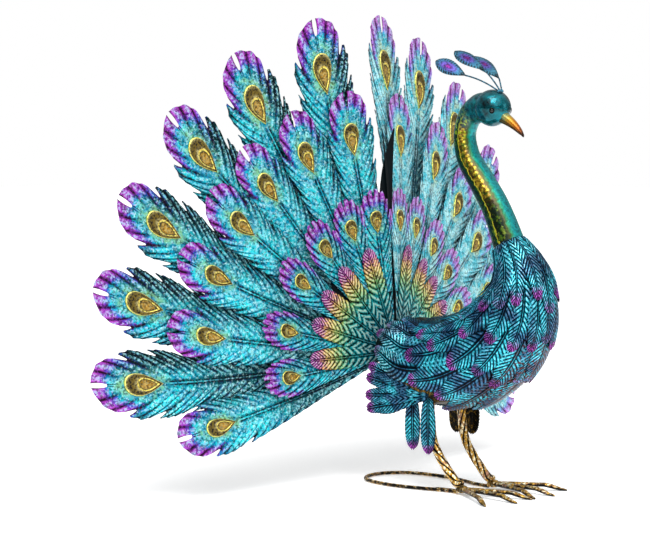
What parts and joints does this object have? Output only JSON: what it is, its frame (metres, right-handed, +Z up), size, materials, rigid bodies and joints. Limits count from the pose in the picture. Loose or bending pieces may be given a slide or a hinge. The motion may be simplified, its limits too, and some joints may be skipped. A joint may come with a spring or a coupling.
{
  "type": "peacock figurine",
  "caption": "Standing garden peacock of painted sheet steel with its tail fanned, overlapping body feathers, rod legs, wire toes and a rear wire stand loop.",
  "frame": {"origin": "on the floor, at the middle of the figure's bounding box", "axes": "+Z up; the bird looks along -Y, with its right side on -X; the fan spreads along X"},
  "size_m": [0.7041, 0.3075, 0.496],
  "materials": {
    "body_teal": "dark teal enamel, antiqued",
    "feather_teal": "teal enamel with rubbed cyan ribs",
    "neck_green": "green and gold hammered enamel",
    "head_teal": "glossy metallic teal enamel",
    "beak_gold": "gold and brown enamel",
    "crest_blue": "grey blue enamel",
    "leg_gold": "antique gold over black",
    "tail_turquoise": "turquoise and purple enamel over black",
    "tail_pale": "pale turquoise and purple enamel over black",
    "back_black": "dark enamel"
  },
  "bodies": {
    "root": {"beak": "beak_gold", "belly_feathers_left": "feather_teal", "belly_feathers_right": "feather_teal", "body": "body_teal", "breast_feathers_left": "feather_teal", "breast_feathers_right": "feather_teal", "collar_feathers_left": "feather_teal", "collar_feathers_right": "feather_teal", "crest_left": "crest_blue", "crest_middle": "crest_blue", "crest_right": "crest_blue", "flank_feathers_left": "feather_teal", "flank_feathers_right": "feather_teal", "foot_left": "leg_gold", "foot_right": "leg_gold", "head": "head_teal", "leg_left": "leg_gold", "leg_right": "leg_gold", "neck": "neck_green", "rump_feathers_left": "feather_teal", "rump_feathers_right": "feather_teal", "stand_loop": "leg_gold", "tail_cover_left_1": "tail_pale", "tail_cover_left_2": "tail_pale", "tail_cover_left_3": "tail_pale", "tail_cover_left_4": "tail_pale", "tail_cover_left_5": "tail_pale", "tail_cover_left_6": "tail_pale", "tail_cover_left_7": "tail_pale", "tail_cover_right_1": "tail_turquoise", "tail_cover_right_2": "tail_turquoise", "tail_cover_right_3": "tail_turquoise", "tail_cover_right_4": "tail_turquoise", "tail_cover_right_5": "tail_turquoise", "tail_cover_right_6": "tail_turquoise", "tail_cover_right_7": "tail_turquoise", "tail_plume_left_1": "tail_pale", "tail_plume_left_2": "tail_pale", "tail_plume_left_3": "tail_pale", "tail_plume_left_4": "tail_pale", "tail_plume_left_5": "tail_pale", "tail_plume_left_6": "tail_pale", "tail_plume_right_1": "tail_turquoise", "tail_plume_right_2": "tail_turquoise", "tail_plume_right_3": "tail_turquoise", "tail_plume_right_4": "tail_turquoise", "tail_plume_right_5": "tail_turquoise", "tail_plume_right_6": "tail_turquoise", "tail_root_plate": "back_black", "tail_rosette_left": "tail_pale", "tail_rosette_right": "tail_turquoise", "tail_small_eyes_left": "tail_pale", "tail_small_eyes_right": "tail_turquoise", "thigh_feather_left_1": "feather_teal", "thigh_feather_left_2": "feather_teal", "thigh_feather_right_1": "feather_teal", "thigh_feather_right_2": "feather_teal", "wing_tip_left": "feather_teal", "wing_tip_right": "feather_teal"}
  },
  "joints": []
}
